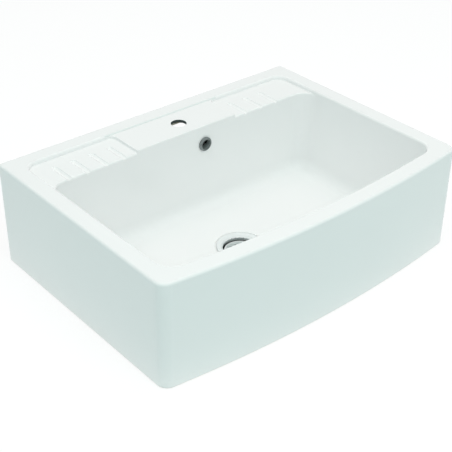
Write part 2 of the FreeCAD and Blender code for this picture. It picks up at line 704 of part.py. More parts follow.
COLLAR_TOP = f"({BASKET_PLATE} + dims.stem_collar_height)"
KNOB_FOOT = f"({COLLAR_TOP} + dims.knob_gap)"
KNOB_TOP = f"({KNOB_FOOT} + dims.knob_height)"
KNOB_SOCKET = f"({KNOB_FOOT} + dims.knob_height / 2)"
STEM_FOOT = f"({BUNG_ROOF} - dims.stem_nut_height - dims.basket_gauge)"
stem_points = [
    ("0", STEM_FOOT),
    (STEM, STEM_FOOT),
    (STEM, BASKET_PLATE),
    ("dims.stem_collar_diameter / 2", BASKET_PLATE),
    ("dims.stem_collar_diameter / 2", COLLAR_TOP),
    (STEM, COLLAR_TOP),
    (STEM, KNOB_SOCKET),
    ("0", KNOB_SOCKET),
]
turned("basket_stem", stem_points)

NECK = "dims.knob_neck_diameter / 2"
KNOB = "dims.knob_diameter / 2"
CROWN = "dims.knob_height / 4"
knob_points = [
    (STEM, KNOB_FOOT),
    (NECK, KNOB_FOOT),
    (NECK, f"{KNOB_FOOT} + {CROWN}"),
    (KNOB, f"{KNOB_TOP} - 2 * {CROWN}"),
    (KNOB, f"{KNOB_TOP} - {CROWN}"),
    (f"{KNOB} - {CROWN}", KNOB_TOP),
    ("0", KNOB_TOP),
    ("0", KNOB_SOCKET),
    (STEM, KNOB_SOCKET),
]
turned("basket_knob", knob_points, {4: (CROWN, 1)})

nut = new_body("stem_nut")
hexagon = new_sketch(nut, "stem_nut_outline", "XY_Plane", f"{BUNG_ROOF} - dims.stem_nut_height")
ACROSS = "dims.stem_nut_width / sqrt(3)"
corners = [(f"{ACROSS} * cos({60 * i} deg)", f"{ACROSS} * sin({60 * i} deg)") for i in range(6)]
draw(hexagon, corners)
ring(hexagon, "dims.stem_diameter")
extrude(nut, "Pad", hexagon, "dims.stem_nut_height")

# Overflow in the bowl's back wall: every piece has its axis square to the wall.
# In their own frame +Z points into the bowl and +Y up, with the wall's face at zero.
IN_WALL = dict(x="dims.overflow_offset", y=BOWL_BACK, z=OVERFLOW_LEVEL, axis=("1", "0", "0"), angle="90")
GASKET = "dims.gasket_thickness"
ROSETTE = "(dims.overflow_hole_diameter / 2 + dims.rosette_lap)"
COLLAR = "(dims.overflow_hole_diameter / 2 - dims.rosette_gap)"
BORE = f"({COLLAR} - dims.rosette_neck_wall)"
RING_ROUND = "dims.rosette_round"
RING_TOP = f"({GASKET} + dims.rosette_height)"
rosette_points = [
    (BORE, "-dims.rosette_neck_length"),
    (COLLAR, "-dims.rosette_neck_length"),
    (COLLAR, GASKET),
    (ROSETTE, GASKET),
    (ROSETTE, f"{RING_TOP} - {RING_ROUND}"),
    (f"{ROSETTE} - {RING_ROUND}", RING_TOP),
    (BORE, RING_TOP),
]
rosette = turned("overflow_rosette", rosette_points, {4: (RING_ROUND, 1)})
bridge = new_sketch(rosette, "rosette_bridge", "XY_Plane", "-dims.rosette_neck_length")
draw(bridge, box_outline("0", "0", f"{BORE} + {COLLAR}", "dims.bridge_width"))
extrude(rosette, "Pad", bridge, "dims.bridge_thickness")
eye = new_sketch(rosette, "bridge_eye", "XY_Plane", "0")
ring(eye, "dims.bridge_screw_diameter + 2 * dims.fit_gap")
extrude(rosette, "Pocket", eye, "dims.rosette_neck_length")
place(rosette, **IN_WALL)

GASKET_BORE = "dims.overflow_hole_diameter"
gasket = washer("overflow_gasket", GASKET_BORE, f"2 * {ROSETTE} - {GASKET}", "0", GASKET)
place(gasket, **IN_WALL)

BRIDGE = "(dims.bridge_thickness - dims.rosette_neck_length)"
SHANK = "dims.bridge_screw_diameter / 2"
DOME = "dims.bridge_screw_head_height"
ELBOW_FACE = "(dims.bowl_wall + dims.elbow_seal_thickness)"
CHAMBER_END = f"({ELBOW_FACE} + {SPIGOT} + dims.spigot_gap)"
SCREW_END = f"({CHAMBER_END} - dims.bridge_screw_end_gap)"
bridge_screw_points = [
    ("0", f"-{SCREW_END}"),
    (SHANK, f"-{SCREW_END}"),
    (SHANK, BRIDGE),
    ("dims.bridge_screw_head_diameter / 2", BRIDGE),
    ("dims.bridge_screw_head_diameter / 2 - dims.bridge_screw_head_height", f"{BRIDGE} + {DOME}"),
    ("0", f"{BRIDGE} + {DOME}"),
]
fixing = turned("overflow_screw", bridge_screw_points, {3: (DOME, 1)})
drive = new_sketch(fixing, "overflow_drive", "XY_Plane", f"{BRIDGE} + {DOME}")
draw(drive, box_outline("0", "0", "dims.bridge_screw_head_diameter", "dims.screw_slot"))
extrude(fixing, "Pocket", drive, f"{DOME} / 2")
place(fixing, **IN_WALL)

CHAMBER = "dims.elbow_diameter / 2 - dims.elbow_wall"
BOSS_FACE = f"({CHAMBER_END} - dims.elbow_boss_length)"
TAPPED = f"{SHANK} + dims.fit_gap"
elbow_points = [
    (CHAMBER, f"-{ELBOW_FACE}"),
    (CHAMBER, f"-{CHAMBER_END}"),
    ("dims.elbow_boss_diameter / 2", f"-{CHAMBER_END}"),
    ("dims.elbow_boss_diameter / 2", f"-{BOSS_FACE}"),
    (TAPPED, f"-{BOSS_FACE}"),
    (TAPPED, f"-{SCREW_END} - dims.fit_gap"),
    ("0", f"-{SCREW_END} - dims.fit_gap"),
    ("0", f"-{CHAMBER_END} - dims.elbow_wall"),
    ("dims.elbow_diameter / 2", f"-{CHAMBER_END} - dims.elbow_wall"),
    ("dims.elbow_diameter / 2", f"-{ELBOW_FACE} - dims.elbow_flange_thickness"),
    (f"{ELBOW_FLANGE} / 2", f"-{ELBOW_FACE} - dims.elbow_flange_thickness"),
    (f"{ELBOW_FLANGE} / 2", f"-{ELBOW_FACE}"),
]
elbow = turned("overflow_elbow", elbow_points)
SPIGOT_BACK = f"({CHAMBER_END} - {SPIGOT} / 2)"
SPIGOT_ROOT = "dims.elbow_diameter / 4"
spigot = new_sketch(elbow, "elbow_spigot", "XZ_Plane", SPIGOT_ROOT)
ring(spigot, SPIGOT, "0", f"-{SPIGOT_BACK}")
extrude(elbow, "Pad", spigot, f"dims.spigot_drop - {SPIGOT_ROOT}")
spigot_bore = new_sketch(elbow, "elbow_spigot_bore", "XZ_Plane", "dims.spigot_drop")
ring(spigot_bore, SPIGOT_BORE, "0", f"-{SPIGOT_BACK}")
extrude(elbow, "Pocket", spigot_bore, f"dims.spigot_drop - {SPIGOT_ROOT}")
place(elbow, **IN_WALL)

ELBOW_SEAL_OUTSIDE = f"{ELBOW_FLANGE} - {GASKET}"
ELBOW_SEAL_FACE = "-dims.bowl_wall"
elbow_seal = washer("elbow_seal", GASKET_BORE, ELBOW_SEAL_OUTSIDE, f"-{ELBOW_FACE}", ELBOW_SEAL_FACE)
place(elbow_seal, **IN_WALL)

# Overflow pipe: down behind the bowl and under its floor, in the upright plane of both its ends.
PIPE_Y = f"({BOWL_BACK} + {SPIGOT_BACK})"
PIPE_RUN = f"sqrt(dims.overflow_offset ^ 2 + {PIPE_Y} ^ 2)"
PIPE_TURN = f"atan2({PIPE_Y}; dims.overflow_offset)"
SPIGOT_END = f"({OVERFLOW_LEVEL} - dims.spigot_drop)"
place(waste, axis=("0", "0", "1"), angle=PIPE_TURN)

pipe = new_body("overflow_pipe")
PIPE_START = f"({INLET_REACH} - dims.pipe_insertion)"
PIPE_END = f"({SPIGOT_END} + dims.pipe_insertion)"
BEND = "dims.pipe_bend_radius"
route = new_sketch(pipe, "pipe_route", "XZ_Plane")
route_points = [
    (PIPE_START, INLET),
    (f"{PIPE_RUN} - {BEND}", INLET),
    (PIPE_RUN, f"{INLET} + {BEND}"),
    (PIPE_RUN, PIPE_END),
]
draw(route, route_points, {1: (BEND, 1)}, closed=False)
section = new_sketch(pipe, "pipe_section", "YZ_Plane", PIPE_START)
ring(section, "dims.pipe_diameter", "0", INLET)
ring(section, "dims.pipe_diameter - 2 * dims.pipe_wall", "0", INLET)
sweep = pipe.newObject("PartDesign::AdditivePipe", "pipe_sweep")
sweep.Profile = section
sweep.Spine = (route, [])
doc.recompute()
place(pipe, axis=("0", "0", "1"), angle=PIPE_TURN)

# Union nuts with their seals where the pipe enters the elbow and the waste body.
# In their own frame zero is the spigot's end and +Z points away from it along the pipe.
UNDER_ELBOW = dict(x="dims.overflow_offset", y=PIPE_Y, z=SPIGOT_END, axis=("1", "0", "0"), angle="180")
AT_INLET = dict(
    x=f"{INLET_REACH} * dims.overflow_offset / {PIPE_RUN}",
    y=f"{INLET_REACH} * {PIPE_Y} / {PIPE_RUN}",
    z=INLET,
    axis=(f"-{PIPE_Y}", "dims.overflow_offset", "0"),
    angle="90",
)
THREAD = f"({SPIGOT} / 2 + dims.fit_gap)"
NUT = f"({THREAD} + dims.nut_wall)"
SEAL = "dims.pipe_seal_length"
NUT_END = f"({SEAL} + dims.nut_end)"
PIPE_HOLE = "dims.pipe_diameter / 2 + dims.fit_gap"
nut_points = [
    (THREAD, "-dims.nut_grip"),
    (NUT, "-dims.nut_grip"),
    (NUT, NUT_END),
    (PIPE_HOLE, NUT_END),
    (PIPE_HOLE, SEAL),
    (THREAD, SEAL),
]
for where, ends in (("upper", UNDER_ELBOW), ("lower", AT_INLET)):
    union = turned(f"{where}_pipe_nut", nut_points)
    flute = new_sketch(union, f"{where}_nut_flute", "XY_Plane", NUT_END)
    ring(flute, "dims.nut_flute_diameter", f"{NUT} + dims.nut_flute_diameter / 4", "0")
    pattern_round(union, extrude(union, "Pocket", flute, f"{NUT_END} + dims.nut_grip"), "dims.nut_flutes")
    place(union, **ends)
    seal = washer(f"{where}_pipe_seal", f"2 * ({PIPE_HOLE})", SPIGOT, "0", SEAL)
    place(seal, **ends)

# Every piece has to be one sound solid before it is written.
doc.recompute()
for thing in doc.Objects:
    if "Invalid" in thing.State or "Error" in thing.State:
        raise RuntimeError(f"{thing.Label} failed: {thing.State}")
bodies = [thing for thing in doc.Objects if thing.TypeId == "PartDesign::Body"]
for body in bodies:
    if body.Shape.isNull() or not body.Shape.isValid() or len(body.Shape.Solids) != 1:
        raise RuntimeError(f"{body.Label} is not one sound solid")
os.makedirs("parts", exist_ok=True)
for body in bodies:
    body.Shape.exportStep(f"parts/{body.Label}.step")
    print(body.Label, round(body.Shape.Volume / 1000, 3), "cm3")
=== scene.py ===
import math
import bpy
from mathutils import Matrix, Vector


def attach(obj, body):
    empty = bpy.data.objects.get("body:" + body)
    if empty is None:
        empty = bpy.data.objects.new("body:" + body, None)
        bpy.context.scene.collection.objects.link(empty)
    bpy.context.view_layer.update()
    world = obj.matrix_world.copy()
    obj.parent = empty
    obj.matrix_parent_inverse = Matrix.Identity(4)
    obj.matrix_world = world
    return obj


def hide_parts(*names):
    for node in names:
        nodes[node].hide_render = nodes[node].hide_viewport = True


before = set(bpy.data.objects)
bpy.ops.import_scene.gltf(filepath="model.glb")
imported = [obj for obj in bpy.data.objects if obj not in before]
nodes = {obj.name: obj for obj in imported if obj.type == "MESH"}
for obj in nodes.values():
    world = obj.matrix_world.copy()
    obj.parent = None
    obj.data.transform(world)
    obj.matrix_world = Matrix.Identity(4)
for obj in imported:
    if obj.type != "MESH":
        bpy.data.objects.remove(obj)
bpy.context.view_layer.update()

# Sink: one casting of fireclay, a bowl hung in a bow-fronted skirt that is open below and behind.
# White glaze covers what shows; the foot, the hollow round the bowl and the hollow under the tap hole are
# raw clay, and the tap hole's wall is painted near-black shade.
# The deck is thinned from below round the tap hole, so that the light behind shows through it.
SINK_WIDTH = 0.8
FRONT = -0.275
BOW_RADIUS = 2.871
BACK_LIP_FACE = 0.2955
UNDER_LEDGE = 0.2166
UNDER_SKIRT = 0.0125
BOWL_SHELL = 0.0365
BOWL_SHELL_BACK = 0.189
BOWL_SHELL_FLOOR = 0.021
TAP_AXIS = (0.010, 0.228)
TAP_BORE = 0.0178
TAP_WALL_FOOT = 0.2297
RELIEF_RADIUS = 0.042
RELIEF_FOOT = 0.2155
RELIEF_SIDES = 96
RAIL_CREASE = {"x": (-0.157, 0.157), "y": (0.2748, 0.2795), "z": (0.2364, 0.2394)}
PORES_PER_METRE = 30
GLAZE_WHITE = (0.958, 0.965, 0.963)
GLAZE_PALE = (0.964, 0.970, 0.968)
GLAZE_CREASE_SHADE = (0.84, 0.885, 0.875)
PORE_BROWN = (0.62, 0.60, 0.55)
MERGE_DISTANCE = 0.000004
SMOOTH_ANGLE = math.radians(30)
LOOK_AHEAD = 0.004


def deselect_all():
    if bpy.context.object and bpy.context.object.mode != "OBJECT":
        bpy.ops.object.mode_set(mode="OBJECT")
    bpy.ops.object.select_all(action="DESELECT")


def activate(piece):
    deselect_all()
    bpy.context.view_layer.objects.active = piece
    piece.select_set(True)


def merged_copy(node, piece_name, *materials):
    """The solid of a node as a piece of its own, with the corners of its faces merged."""
    piece = bpy.data.objects.new(piece_name, nodes[node].data.copy())
    bpy.context.scene.collection.objects.link(piece)
    piece.data.materials.clear()
    for material in materials:
        piece.data.materials.append(material)
    activate(piece)
    bpy.ops.mesh.customdata_custom_splitnormals_clear()
    bpy.ops.object.mode_set(mode="EDIT")
    bpy.ops.mesh.select_all(action="SELECT")
    bpy.ops.mesh.remove_doubles(threshold=MERGE_DISTANCE)
    bpy.ops.mesh.select_all(action="DESELECT")
    bpy.ops.object.mode_set(mode="OBJECT")
    return piece


def finish_copy(piece, node, body):
    """Shades the round faces of a copy smooth, and lets it stand for its node."""
    activate(piece)
    bpy.ops.object.shade_smooth_by_angle(angle=SMOOTH_ANGLE)
    weighted = piece.modifiers.new("weighted", "WEIGHTED_NORMAL")
    weighted.keep_sharp = True
    bpy.ops.object.modifier_apply(modifier=weighted.name)
    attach(piece, body)
    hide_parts(node)


def new_material(name):
    """A node material with its shader and the place on the object that patterns read."""
    material = bpy.data.materials.new(name)
    material.use_nodes = True
    tree = material.node_tree
    shader = tree.nodes["Principled BSDF"]
    place = tree.nodes.new("ShaderNodeTexCoord").outputs["Object"]
    return material, tree, shader, place


def feed(tree, value, socket):
    """Gives a socket another node's output, a colour or a number."""
    if isinstance(value, bpy.types.NodeSocket):
        tree.links.new(value, socket)
    elif isinstance(value, tuple):
        socket.default_value = (*value, 1)
    else:
        socket.default_value = value


def calculate(tree, operation, *values):
    """Result of a sum on numbers, each of which may be fixed or a pattern."""
    node = tree.nodes.new("ShaderNodeMath")
    node.operation = operation
    for value, socket in zip(values, node.inputs):
        feed(tree, value, socket)
    return node.outputs[0]


def noise(tree, place, size, detail=2):
    """Cloudy pattern whose lumps are about size metres across."""
    node = tree.nodes.new("ShaderNodeTexNoise")
    node.inputs["Scale"].default_value = 1 / size
    node.inputs["Detail"].default_value = detail
    tree.links.new(place, node.inputs["Vector"])
    return node.outputs["Fac"]


def spread(tree, value, low, high, start=0.3, end=0.7):
    """A pattern between start and end turned into a value between low and high."""
    node = tree.nodes.new("ShaderNodeMapRange")
    node.inputs["From Min"].default_value = start
    node.inputs["From Max"].default_value = end
    node.inputs["To Min"].default_value = low
    node.inputs["To Max"].default_value = high
    tree.links.new(value, node.inputs["Value"])
    return node.outputs["Result"]


def within(tree, value, low, high, soft, fade=None):
    """One where a value lies between low and high, fading over soft on either side, or over fade above."""
    rise = spread(tree, value, 0, 1, start=low - soft, end=low)
    fall = spread(tree, value, 1, 0, start=high, end=high + (fade or soft))
    return calculate(tree, "MULTIPLY", rise, fall)


def blend_colours(tree, share, first, second):
    """Colour that a pattern mixes from two colours, the first of which may be a pattern itself."""
    node = tree.nodes.new("ShaderNodeMix")
    node.data_type = "RGBA"
    first_colour, second_colour = [socket for socket in node.inputs if socket.type == "RGBA"]
    feed(tree, share, node.inputs["Factor"])
    feed(tree, first, first_colour)
    feed(tree, second, second_colour)
    return next(socket for socket in node.outputs if socket.type == "RGBA")


def bump(tree, shader, height, depth):
    """Relief of the surface, depth metres from its lowest to its highest."""
    node = tree.nodes.new("ShaderNodeBump")
    node.inputs["Distance"].default_value = depth
    tree.links.new(height, node.inputs["Height"])
    tree.links.new(node.outputs["Normal"], shader.inputs["Normal"])


def glaze_material():
    """White glaze with faint pores, and painted shade, a little green, along the foot of the back rail."""
    material, tree, shader, place = new_material("white_glaze")
    drift = spread(tree, noise(tree, place, size=0.12, detail=1), 0, 1)
    colour = blend_colours(tree, drift, GLAZE_WHITE, GLAZE_PALE)
    pores = tree.nodes.new("ShaderNodeTexVoronoi")
    pores.inputs["Scale"].default_value = PORES_PER_METRE
    tree.links.new(place, pores.inputs["Vector"])
    pore = spread(tree, pores.outputs["Distance"], 0.10, 0, start=0.008, end=0.02)
    colour = blend_colours(tree, pore, colour, PORE_BROWN)
    parts = tree.nodes.new("ShaderNodeSeparateXYZ")
    tree.links.new(place, parts.inputs[0])
    # Painted shade: a thin band along the foot of the back rail, over the deck, is darker and a little
    # green.
    crease_shade = within(tree, parts.outputs["X"], *RAIL_CREASE["x"], soft=0.001)
    for axis in ("y", "z"):
        across = within(tree, parts.outputs[axis.upper()], *RAIL_CREASE[axis], soft=0.0006)
        crease_shade = calculate(tree, "MULTIPLY", crease_shade, across)
    colour = blend_colours(tree, crease_shade, colour, GLAZE_CREASE_SHADE)
    tree.links.new(colour, shader.inputs["Base Color"])
    sheen = spread(tree, noise(tree, place, size=0.05), 0.22, 0.27)
    tree.links.new(sheen, shader.inputs["Roughness"])
    shader.inputs["Coat Weight"].default_value = 0.4
    shader.inputs["Coat Roughness"].default_value = 0.06
    bump(tree, shader, noise(tree, place, size=0.012, detail=1), depth=0.00004)
    return material


def clay_material(name, dark, pale):
    material, tree, shader, place = new_material(name)
    grain = spread(tree, noise(tree, place, size=0.0016, detail=4), 0, 1, start=0.35, end=0.65)
    tree.links.new(blend_colours(tree, grain, dark, pale), shader.inputs["Base Color"])
    dull = spread(tree, noise(tree, place, size=0.02), 0.78, 0.92)
    tree.links.new(dull, shader.inputs["Roughness"])
    bump(tree, shader, noise(tree, place, size=0.0012, detail=3), depth=0.0003)
    return material


def inset(point):
    """How far a point lies inside the outline of the sink, seen from above."""
    front = FRONT + point.x ** 2 / (2 * BOW_RADIUS)
    return min(SINK_WIDTH / 2 - abs(point.x), point.y - front)


def is_raw(face):
    """Whether a face of the casting looks down on the base unit, or into the hollow round the bowl."""
    before = face.center + LOOK_AHEAD * face.normal
    if before.z < 0:
        return True
    if math.dist(before.xy, TAP_AXIS) < RELIEF_RADIUS and UNDER_LEDGE < before.z < TAP_WALL_FOOT:
        return True
    in_skirt = inset(before) > UNDER_SKIRT and before.z < UNDER_LEDGE and before.y < BACK_LIP_FACE
    in_bowl = inset(before) > BOWL_SHELL and before.z > BOWL_SHELL_FLOOR and before.y < BOWL_SHELL_BACK
    return in_skirt and not in_bowl


def is_tap_bore(face):
    return math.dist(face.center.xy, TAP_AXIS) < TAP_BORE and face.center.z > TAP_WALL_FOOT


def relieve_tap_hole(casting):
    """Cuts a shallow round hollow under the deck, about the tap hole."""
    deselect_all()
    middle = (*TAP_AXIS, (TAP_WALL_FOOT + RELIEF_FOOT) / 2)
    bpy.ops.mesh.primitive_cylinder_add(
        vertices=RELIEF_SIDES, radius=RELIEF_RADIUS, depth=TAP_WALL_FOOT - RELIEF_FOOT, location=middle)
    cutter = bpy.context.object
    activate(casting)
    relief = casting.modifiers.new("relief", "BOOLEAN")
    relief.operation = "DIFFERENCE"
    relief.solver = "EXACT"
    relief.object = cutter
    bpy.ops.object.modifier_apply(modifier=relief.name)
    bpy.data.objects.remove(cutter)


glaze = glaze_material()
raw_clay = clay_material("raw_fireclay", dark=(0.60, 0.53, 0.43), pale=(0.74, 0.67, 0.56))
# Painted shade: the wall of the tap hole, above the thinned underside of the deck, is coloured near black.
tap_bore_shade = clay_material("tap_bore_painted_shade", dark=(0.05, 0.07, 0.07), pale=(0.09, 0.11, 0.11))
sink = merged_copy("sink_body", "sink_casting", glaze, raw_clay, tap_bore_shade)
relieve_tap_hole(sink)
for face in sink.data.polygons:
    face.material_index = 2 if is_tap_bore(face) else int(is_raw(face))
finish_copy(sink, "sink_body", "sink")

# Waste: a pressed steel cup in the recess of the floor, drawn down by one screw on a moulded body.
# Metal carries the fine rings of a lathe, rubber is dull, and the moulding has a faint grain.
# The walls of the cup below its flange are darker steel, painted shade, and the body's outlet has a thread
# outside.
FLANGE_LEVEL = 0.024
FLANGE_BORE = 0.041
THREAD_TOP = -0.047
THREAD_REACH = 0.0234
THREAD_PITCH = 0.0023
THREAD_DEPTH = 0.0012
MOULDING_DARK = (0.70, 0.715, 0.71)
MOULDING_PALE = (0.78, 0.79, 0.785)
RUBBER_BLACK = (0.016, 0.016, 0.017)
RUBBER_BLOOM = (0.034, 0.034, 0.035)
SHADE_BLACK = (0.008, 0.010, 0.010)
SHADE_EDGE = 0.0003


def smooth_copy(node, piece_name, body, slot, *materials):
    piece = merged_copy(node, piece_name, *materials)
    finish_copy(piece, node, body)
    return piece


def vector_step(tree, operation, vector, value=(0, 0, 0)):
    """Result of a sum on a pattern's vector and a fixed one; a length comes out as a number."""
    node = tree.nodes.new("ShaderNodeVectorMath")
    node.operation = operation
    node.inputs[1].default_value = value
    tree.links.new(vector, node.inputs[0])
    return node.outputs["Value" if operation == "LENGTH" else "Vector"]


def lathe_group():
    """Fine rings round the z axis, as turning and polishing leave them, and the distance from it."""
    group = bpy.data.node_groups.new("lathe_rings", "ShaderNodeTree")
    group.interface.new_socket("Place", in_out="INPUT", socket_type="NodeSocketVector")
    group.interface.new_socket("Rings", in_out="OUTPUT", socket_type="NodeSocketFloat")
    group.interface.new_socket("Radius", in_out="OUTPUT", socket_type="NodeSocketFloat")
    place = group.nodes.new("NodeGroupInput").outputs["Place"]
    end = group.nodes.new("NodeGroupOutput")
    radius = vector_step(group, "LENGTH", vector_step(group, "MULTIPLY", place, (1, 1, 0)))
    parts = group.nodes.new("ShaderNodeSeparateXYZ")
    group.links.new(place, parts.inputs[0])
    profile = group.nodes.new("ShaderNodeCombineXYZ")
    group.links.new(radius, profile.inputs["X"])
    group.links.new(parts.outputs["Z"], profile.inputs["Z"])
    group.links.new(noise(group, profile.outputs[0], size=0.0005, detail=3), end.inputs["Rings"])
    group.links.new(radius, end.inputs["Radius"])
    return group


lathe_rings = lathe_group()


def metal_material(name, dark, pale, smooth, rough, metallic=1, axis=None, bore=None):
    """Turned or polished metal, satin if less metallic, and painted black shade closer to its axis than
    bore.
    The axis is the waste's, or runs along y through the point axis."""
    material, tree, shader, place = new_material(name)
    if axis:
        mapping = tree.nodes.new("ShaderNodeMapping")
        mapping.vector_type = "TEXTURE"
        mapping.inputs["Location"].default_value = axis
        mapping.inputs["Rotation"].default_value = (math.pi / 2, 0, 0)
        tree.links.new(place, mapping.inputs["Vector"])
        place = mapping.outputs["Vector"]
    lathe = tree.nodes.new("ShaderNodeGroup")
    lathe.node_tree = lathe_rings
    tree.links.new(place, lathe.inputs["Place"])
    rings = lathe.outputs["Rings"]
    colour = blend_colours(tree, spread(tree, rings, 0, 1), dark, pale)
    if bore:
        inside = spread(tree, lathe.outputs["Radius"], 1, 0, start=bore - SHADE_EDGE, end=bore + SHADE_EDGE)
        colour = blend_colours(tree, inside, colour, SHADE_BLACK)
    tree.links.new(colour, shader.inputs["Base Color"])
    tree.links.new(spread(tree, rings, smooth, rough), shader.inputs["Roughness"])
    shader.inputs["Metallic"].default_value = metallic
    bump(tree, shader, rings, depth=0.00002)
    return material


def rubber_material():
    material, tree, shader, place = new_material("black_rubber")
    bloom = spread(tree, noise(tree, place, size=0.008, detail=4), 0, 1)
    tree.links.new(blend_colours(tree, bloom, RUBBER_BLACK, RUBBER_BLOOM), shader.inputs["Base Color"])
    dull = spread(tree, noise(tree, place, size=0.004), 0.55, 0.72)
    tree.links.new(dull, shader.inputs["Roughness"])
    bump(tree, shader, noise(tree, place, size=0.0006), depth=0.00003)
    return material


def plastic_material(name, threaded=False):
    """Moulded plastic, with a faint grain or with a thread that winds round the z axis."""
    material, tree, shader, place = new_material(name)
    flow = spread(tree, noise(tree, place, size=0.03, detail=3), 0, 1)
    tree.links.new(blend_colours(tree, flow, MOULDING_DARK, MOULDING_PALE), shader.inputs["Base Color"])
    satin = spread(tree, noise(tree, place, size=0.006), 0.40, 0.52)
    tree.links.new(satin, shader.inputs["Roughness"])
    if not threaded:
        bump(tree, shader, noise(tree, place, size=0.0007), depth=0.00005)
        return material
    parts = tree.nodes.new("ShaderNodeSeparateXYZ")
    tree.links.new(place, parts.inputs[0])
    angle = calculate(tree, "ARCTAN2", parts.outputs["Y"], parts.outputs["X"])
    climb = calculate(tree, "MULTIPLY_ADD", angle, -THREAD_PITCH / math.tau, parts.outputs["Z"])
    ridge = calculate(tree, "PINGPONG", climb, THREAD_PITCH / 2)
    bump(tree, shader, spread(tree, ridge, 0, 1, start=0, end=THREAD_PITCH / 2), depth=THREAD_DEPTH)
    return material


steel = metal_material(
    "pressed_steel", dark=(0.88, 0.92, 0.915), pale=(0.94, 0.97, 0.965), smooth=0.52, rough=0.64,
    metallic=0.6)
# Painted shade: darker steel for the walls of the cup below its flange, where the gap round the basket
# lies in shade.
cup_throat_shade = metal_material(
    "cup_throat_shade", dark=(0.30, 0.33, 0.33), pale=(0.42, 0.45, 0.45), smooth=0.16, rough=0.26)
brass = metal_material(
    "turned_brass", dark=(0.72, 0.53, 0.24), pale=(0.84, 0.66, 0.34), smooth=0.20, rough=0.32)
rubber = rubber_material()
plastic = plastic_material("moulded_plastic")
threaded_plastic = plastic_material("threaded_plastic", threaded=True)

cup = smooth_copy("strainer_cup", "waste_cup", "sink", "steel", steel, cup_throat_shade)
for face in cup.data.polygons:
    if face.center.z < FLANGE_LEVEL and face.center.xy.length < FLANGE_BORE:
        face.material_index = 1
smooth_copy("cup_seal", "waste_cup_seal", "sink", "rubber", rubber)
smooth_copy("body_seal", "waste_body_seal", "sink", "rubber", rubber)
smooth_copy("clamp_screw", "waste_screw", "sink", "steel", steel)
smooth_copy("screw_insert", "waste_insert", "sink", "brass", brass)
waste = smooth_copy("waste_body", "waste_moulding", "sink", "plastic", plastic, threaded_plastic)
for face in waste.data.polygons:
    if face.center.z < THREAD_TOP and face.center.xy.length > THREAD_REACH:
        face.material_index = 1

# Basket strainer: a slotted steel basket on a stem, with a knob to lift it and a rubber bung below.
# It hangs by its rim in the cup; the knob is plated, the washer and the nut under it are steel.
knob_plate = metal_material(
    "chrome_plate", dark=(0.62, 0.64, 0.64), pale=(0.72, 0.74, 0.74), smooth=0.08, rough=0.16)
smooth_copy("strainer_basket", "lift_basket", "basket", "steel", steel)
smooth_copy("basket_stem", "lift_stem", "basket", "steel", steel)
smooth_copy("basket_knob", "lift_knob", "basket", "chrome", knob_plate)
smooth_copy("basket_bung", "lift_bung", "basket", "rubber", rubber)
smooth_copy("bung_washer", "lift_washer", "basket", "steel", steel)
smooth_copy("stem_nut", "lift_nut", "basket", "steel", steel)

# Overflow: a plated ring in the bowl's back wall, screwed to a moulded elbow behind it.
# Its neck is dull grey inside; the bridge across it and the screw are painted black shade.
# A pipe with a nut and a rubber ring at each end leads from the elbow down to the waste.
OVERFLOW_AXIS = (0.048, 0, 0.191)
SHADE_RADIUS = 0.0118
NECK_RADIUS = 0.01055
BRIDGE_RADIUS = 0.0098
# Painted shade: the ring turns black inside the radius of its bore, over the bridge.
ring_plate = metal_material(
    "overflow_plate", dark=(0.18, 0.21, 0.21), pale=(0.28, 0.31, 0.31), smooth=0.22, rough=0.34,
    axis=OVERFLOW_AXIS, bore=SHADE_RADIUS)
neck_plate = metal_material(
    "overflow_bore", dark=(0.24, 0.28, 0.28), pale=(0.34, 0.38, 0.38), smooth=0.50, rough=0.62,
    metallic=0.2, axis=OVERFLOW_AXIS)
# Painted shade: the overflow screw is coloured near black.
shade_black_steel = metal_material(
    "overflow_steel", dark=(0.010, 0.012, 0.012), pale=(0.020, 0.022, 0.022), smooth=0.45, rough=0.60,
    metallic=0.2, axis=OVERFLOW_AXIS)
ring = smooth_copy("overflow_rosette", "overflow_ring", "sink", "chrome", ring_plate, neck_plate)
for face in ring.data.polygons:
    reach = math.hypot(face.center.x - OVERFLOW_AXIS[0], face.center.z - OVERFLOW_AXIS[2])
    if BRIDGE_RADIUS < reach < NECK_RADIUS:
        face.material_index = 1
smooth_copy("overflow_screw", "overflow_fixing", "sink", "steel", shade_black_steel)
smooth_copy("overflow_gasket", "overflow_ring_gasket", "sink", "rubber", rubber)
smooth_copy("overflow_elbow", "overflow_bend", "sink", "plastic", plastic)
smooth_copy("elbow_seal", "overflow_bend_seal", "sink", "rubber", rubber)
smooth_copy("overflow_pipe", "overflow_tube", "sink", "plastic", plastic)
for end in ("upper", "lower"):
    smooth_copy(f"{end}_pipe_nut", f"{end}_union_nut", "sink", "plastic", plastic)
    smooth_copy(f"{end}_pipe_seal", f"{end}_union_ring", "sink", "rubber", rubber)

# Stage: a floor just under the foot of the sink, white to the eye, that keeps the sink's shadow.
# It is open over a lower plate where the waste and the pipe hang down, and isn't seen from below.
# What it throws back on the sink is duller, with a warm glow close by that pales the foot.
FLOOR_SIZE = 16
FLOOR_LEVEL = -0.0003
OPENING_SIZE = 0.5
PIT_SIZE = 2
PIT_LEVEL = -0.12
FOOT_MIDDLE = (0, 0.0325, 0)
FOOT_HALF = (0.4, 0.2825, 1)
GLOW_START = 0.002
GLOW_REACH = 0.15
GLOW_COLOUR = (0.30, 0.235, 0.23)
BOUNCE_COLOUR = (0.61, 0.715, 0.71)
SHADOW_GREY = (0.25, 0.25, 0.25)
WHITE = (1, 1, 1)
FLOOR_BRIGHTNESS = 0.80


def matt_shader(tree, colour):
    node = tree.nodes.new("ShaderNodeBsdfDiffuse")
    feed(tree, colour, node.inputs["Color"])
    return node.outputs[0]


